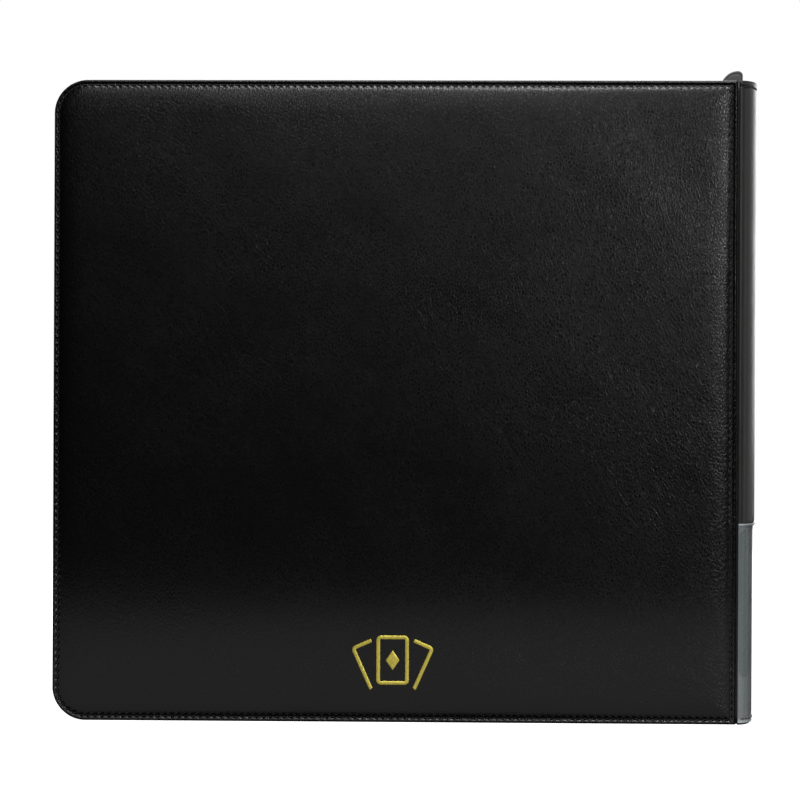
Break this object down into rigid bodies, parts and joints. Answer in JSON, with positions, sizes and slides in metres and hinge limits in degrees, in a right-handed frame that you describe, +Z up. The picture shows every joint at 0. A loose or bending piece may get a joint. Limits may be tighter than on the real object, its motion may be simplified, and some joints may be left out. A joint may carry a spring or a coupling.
{
  "type": "trading card binder",
  "caption": "Square zip-round binder for trading cards with padded leatherette covers, a rounded spine with a label pocket, and side-loading pocket leaves.",
  "frame": {"origin": "middle of the bounding box's bottom, on the surface that the closed binder stands on", "axes": "+Z up along the spine, +X towards the spine, +Y towards the front cover; the back cover faces -Y"},
  "size_m": [0.3564, 0.0464, 0.3306],
  "materials": {
    "cover_leatherette": "black pebbled synthetic leather, satin",
    "spine_leatherette": "smooth black synthetic leather, satin",
    "padding_foam": "thin soft padding foam",
    "greyboard": "dense grey binder's board",
    "lining_cloth": "black woven lining",
    "black_thread": "waxed black thread",
    "gold_foil": "hot-stamped gold foil",
    "clear_film": "clear flexible film",
    "label_card": "blue-grey label card",
    "binding_plastic": "black moulded binding bar",
    "zip_tape": "black woven zip tape",
    "zip_coil": "black nylon coil",
    "zip_metal": "black enamelled zinc",
    "pull_leatherette": "black synthetic leather",
    "page_film": "black polypropylene core with clear welded pockets"
  },
  "bodies": {
    "spine": {"spine_leather": "spine_leatherette", "spine_board": "greyboard", "spine_lining": "lining_cloth", "spine_stitching": "black_thread", "label_window": "clear_film", "page_binding": "binding_plastic", "hinge_strip_back": "spine_leatherette", "hinge_strip_front": "spine_leatherette", "zip_end_tab_top": "spine_leatherette", "zip_end_tab_bottom": "spine_leatherette"},
    "label": {"label_card": "label_card"},
    "back_cover": {"back_cover_leather": "cover_leatherette", "back_cover_foam": "padding_foam", "back_cover_board": "greyboard", "back_cover_lining": "lining_cloth", "back_cover_stitching": "black_thread", "foil_emblem": "gold_foil", "zip_tape_back": "zip_tape", "zip_coil_back": "zip_coil", "zip_stops_back": "zip_metal"},
    "front_cover": {"front_cover_leather": "cover_leatherette", "front_cover_foam": "padding_foam", "front_cover_board": "greyboard", "front_cover_lining": "lining_cloth", "front_cover_stitching": "black_thread", "zip_tape_front": "zip_tape", "zip_coil_front": "zip_coil", "zip_stops_front": "zip_metal"},
    "zip_slider": {"zip_slider": "zip_metal"},
    "zip_pull": {"zip_pull_link": "zip_metal", "zip_pull_tab": "pull_leatherette"},
    "leaf_01": {"page_01": "page_film"},
    "leaf_02": {"page_02": "page_film"},
    "leaf_03": {"page_03": "page_film"},
    "leaf_04": {"page_04": "page_film"},
    "leaf_05": {"page_05": "page_film"},
    "leaf_06": {"page_06": "page_film"},
    "leaf_07": {"page_07": "page_film"},
    "leaf_08": {"page_08": "page_film"},
    "leaf_09": {"page_09": "page_film"},
    "leaf_10": {"page_10": "page_film"},
    "leaf_11": {"page_11": "page_film"},
    "leaf_12": {"page_12": "page_film"},
    "leaf_13": {"page_13": "page_film"},
    "leaf_14": {"page_14": "page_film"},
    "leaf_15": {"page_15": "page_film"},
    "leaf_16": {"page_16": "page_film"},
    "leaf_17": {"page_17": "page_film"},
    "leaf_18": {"page_18": "page_film"},
    "leaf_19": {"page_19": "page_film"},
    "leaf_20": {"page_20": "page_film"}
  },
  "joints": [
    {"name": "back_cover_hinge", "type": "hinge", "parent": "spine", "child": "back_cover", "pos_m": [0.16678, -0.02315, 0], "axis": [0, 0, 1], "range_deg": [0, 90]},
    {"name": "front_cover_hinge", "type": "hinge", "parent": "spine", "child": "front_cover", "pos_m": [0.16678, 0.02315, 0], "axis": [0, 0, -1], "range_deg": [0, 90]},
    {"name": "label_slide", "type": "slide", "parent": "spine", "child": "label", "axis": [0, 0, 1], "range_m": [0, 0.075]},
    {"name": "zip_slide", "type": "slide", "parent": "back_cover", "child": "zip_slider", "axis": [-1, 0, 0], "range_m": [0, 0.28]},
    {"name": "pull_swing", "type": "hinge", "parent": "zip_slider", "child": "zip_pull", "pos_m": [0.14577, 0, 0.32195], "axis": [0, 1, 0], "range_deg": [0, 120]},
    {"name": "leaf_01_turn", "type": "hinge", "parent": "spine", "child": "leaf_01", "pos_m": [0.16078, 0.0171, 0], "axis": [0, 0, -1], "range_deg": [0, 90]},
    {"name": "leaf_02_turn", "type": "hinge", "parent": "spine", "child": "leaf_02", "pos_m": [0.16078, 0.0153, 0], "axis": [0, 0, -1], "range_deg": [0, 90]},
    {"name": "leaf_03_turn", "type": "hinge", "parent": "spine", "child": "leaf_03", "pos_m": [0.16078, 0.0135, 0], "axis": [0, 0, -1], "range_deg": [0, 90]},
    {"name": "leaf_04_turn", "type": "hinge", "parent": "spine", "child": "leaf_04", "pos_m": [0.16078, 0.0117, 0], "axis": [0, 0, -1], "range_deg": [0, 90]},
    {"name": "leaf_05_turn", "type": "hinge", "parent": "spine", "child": "leaf_05", "pos_m": [0.16078, 0.0099, 0], "axis": [0, 0, -1], "range_deg": [0, 90]},
    {"name": "leaf_06_turn", "type": "hinge", "parent": "spine", "child": "leaf_06", "pos_m": [0.16078, 0.0081, 0], "axis": [0, 0, -1], "range_deg": [0, 90]},
    {"name": "leaf_07_turn", "type": "hinge", "parent": "spine", "child": "leaf_07", "pos_m": [0.16078, 0.0063, 0], "axis": [0, 0, -1], "range_deg": [0, 90]},
    {"name": "leaf_08_turn", "type": "hinge", "parent": "spine", "child": "leaf_08", "pos_m": [0.16078, 0.0045, 0], "axis": [0, 0, -1], "range_deg": [0, 90]},
    {"name": "leaf_09_turn", "type": "hinge", "parent": "spine", "child": "leaf_09", "pos_m": [0.16078, 0.0027, 0], "axis": [0, 0, -1], "range_deg": [0, 90]},
    {"name": "leaf_10_turn", "type": "hinge", "parent": "spine", "child": "leaf_10", "pos_m": [0.16078, 0.0009, 0], "axis": [0, 0, -1], "range_deg": [0, 90]},
    {"name": "leaf_11_turn", "type": "hinge", "parent": "spine", "child": "leaf_11", "pos_m": [0.16078, -0.0009, 0], "axis": [0, 0, 1], "range_deg": [0, 90]},
    {"name": "leaf_12_turn", "type": "hinge", "parent": "spine", "child": "leaf_12", "pos_m": [0.16078, -0.0027, 0], "axis": [0, 0, 1], "range_deg": [0, 90]},
    {"name": "leaf_13_turn", "type": "hinge", "parent": "spine", "child": "leaf_13", "pos_m": [0.16078, -0.0045, 0], "axis": [0, 0, 1], "range_deg": [0, 90]},
    {"name": "leaf_14_turn", "type": "hinge", "parent": "spine", "child": "leaf_14", "pos_m": [0.16078, -0.0063, 0], "axis": [0, 0, 1], "range_deg": [0, 90]},
    {"name": "leaf_15_turn", "type": "hinge", "parent": "spine", "child": "leaf_15", "pos_m": [0.16078, -0.0081, 0], "axis": [0, 0, 1], "range_deg": [0, 90]},
    {"name": "leaf_16_turn", "type": "hinge", "parent": "spine", "child": "leaf_16", "pos_m": [0.16078, -0.0099, 0], "axis": [0, 0, 1], "range_deg": [0, 90]},
    {"name": "leaf_17_turn", "type": "hinge", "parent": "spine", "child": "leaf_17", "pos_m": [0.16078, -0.0117, 0], "axis": [0, 0, 1], "range_deg": [0, 90]},
    {"name": "leaf_18_turn", "type": "hinge", "parent": "spine", "child": "leaf_18", "pos_m": [0.16078, -0.0135, 0], "axis": [0, 0, 1], "range_deg": [0, 90]},
    {"name": "leaf_19_turn", "type": "hinge", "parent": "spine", "child": "leaf_19", "pos_m": [0.16078, -0.0153, 0], "axis": [0, 0, 1], "range_deg": [0, 90]},
    {"name": "leaf_20_turn", "type": "hinge", "parent": "spine", "child": "leaf_20", "pos_m": [0.16078, -0.0171, 0], "axis": [0, 0, 1], "range_deg": [0, 90]}
  ],
  "couplings": [
    {"joint": "leaf_01_turn", "follows": "front_cover_hinge", "ratio": 0.90909},
    {"joint": "leaf_02_turn", "follows": "front_cover_hinge", "ratio": 0.81818},
    {"joint": "leaf_03_turn", "follows": "front_cover_hinge", "ratio": 0.72727},
    {"joint": "leaf_04_turn", "follows": "front_cover_hinge", "ratio": 0.63636},
    {"joint": "leaf_05_turn", "follows": "front_cover_hinge", "ratio": 0.54546},
    {"joint": "leaf_06_turn", "follows": "front_cover_hinge", "ratio": 0.45454},
    {"joint": "leaf_07_turn", "follows": "front_cover_hinge", "ratio": 0.36364},
    {"joint": "leaf_08_turn", "follows": "front_cover_hinge", "ratio": 0.27273},
    {"joint": "leaf_09_turn", "follows": "front_cover_hinge", "ratio": 0.18182},
    {"joint": "leaf_10_turn", "follows": "front_cover_hinge", "ratio": 0.090909},
    {"joint": "leaf_11_turn", "follows": "back_cover_hinge", "ratio": 0.090909},
    {"joint": "leaf_12_turn", "follows": "back_cover_hinge", "ratio": 0.18182},
    {"joint": "leaf_13_turn", "follows": "back_cover_hinge", "ratio": 0.27273},
    {"joint": "leaf_14_turn", "follows": "back_cover_hinge", "ratio": 0.36364},
    {"joint": "leaf_15_turn", "follows": "back_cover_hinge", "ratio": 0.45454},
    {"joint": "leaf_16_turn", "follows": "back_cover_hinge", "ratio": 0.54546},
    {"joint": "leaf_17_turn", "follows": "back_cover_hinge", "ratio": 0.63636},
    {"joint": "leaf_18_turn", "follows": "back_cover_hinge", "ratio": 0.72727},
    {"joint": "leaf_19_turn", "follows": "back_cover_hinge", "ratio": 0.81818},
    {"joint": "leaf_20_turn", "follows": "back_cover_hinge", "ratio": 0.90909}
  ]
}
